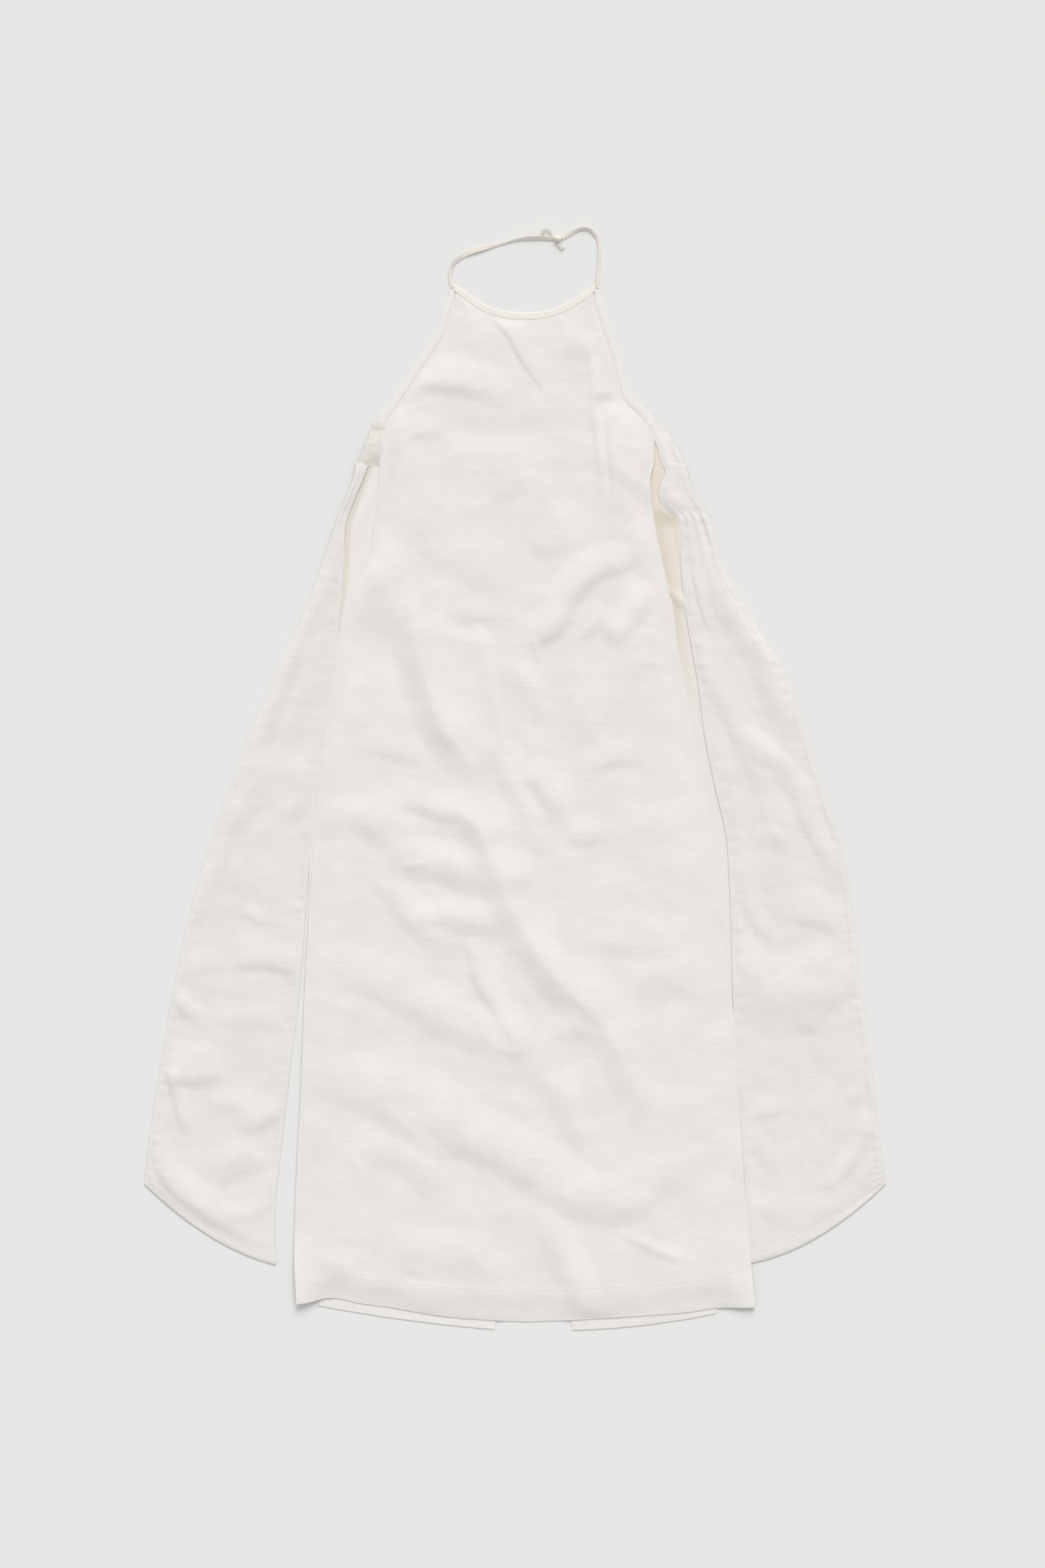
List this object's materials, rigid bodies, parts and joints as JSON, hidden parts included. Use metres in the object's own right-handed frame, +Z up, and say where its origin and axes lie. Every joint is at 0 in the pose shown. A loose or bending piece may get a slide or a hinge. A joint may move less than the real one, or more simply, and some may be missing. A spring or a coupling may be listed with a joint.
{
  "type": "halter dress",
  "caption": "Halter dress of washed linen laid flat, front up: bound neckline and armholes, knotted neck straps, flared long skirt, gathered flared side ties.",
  "frame": {"origin": "middle of the dress's outline, on the surface it lies on", "axes": "+Y from the hem to the straps, the length of the dress; +X across it, to the right seen from above; +Z up, out of the front"},
  "size_m": [0.934, 1.392, 0.0173],
  "materials": {
    "linen_front": "washed plain-weave linen, matt",
    "linen_back": "washed plain-weave linen, matt",
    "linen_tie": "washed plain-weave linen, matt",
    "linen_binding": "folded bias strip of the same linen, matt"
  },
  "bodies": {
    "root": {"front_panel": "linen_front", "back_panel_left": "linen_back", "back_panel_right": "linen_back", "side_tie_left": "linen_tie", "side_tie_right": "linen_tie", "tie_gather_left": "linen_tie", "tie_gather_right": "linen_tie", "neck_binding": "linen_binding", "armhole_binding_left": "linen_binding", "armhole_binding_right": "linen_binding", "strap_left": "linen_binding", "strap_right": "linen_binding", "strap_knot": "linen_binding", "strap_loop": "linen_binding", "strap_tail": "linen_binding"}
  },
  "joints": []
}
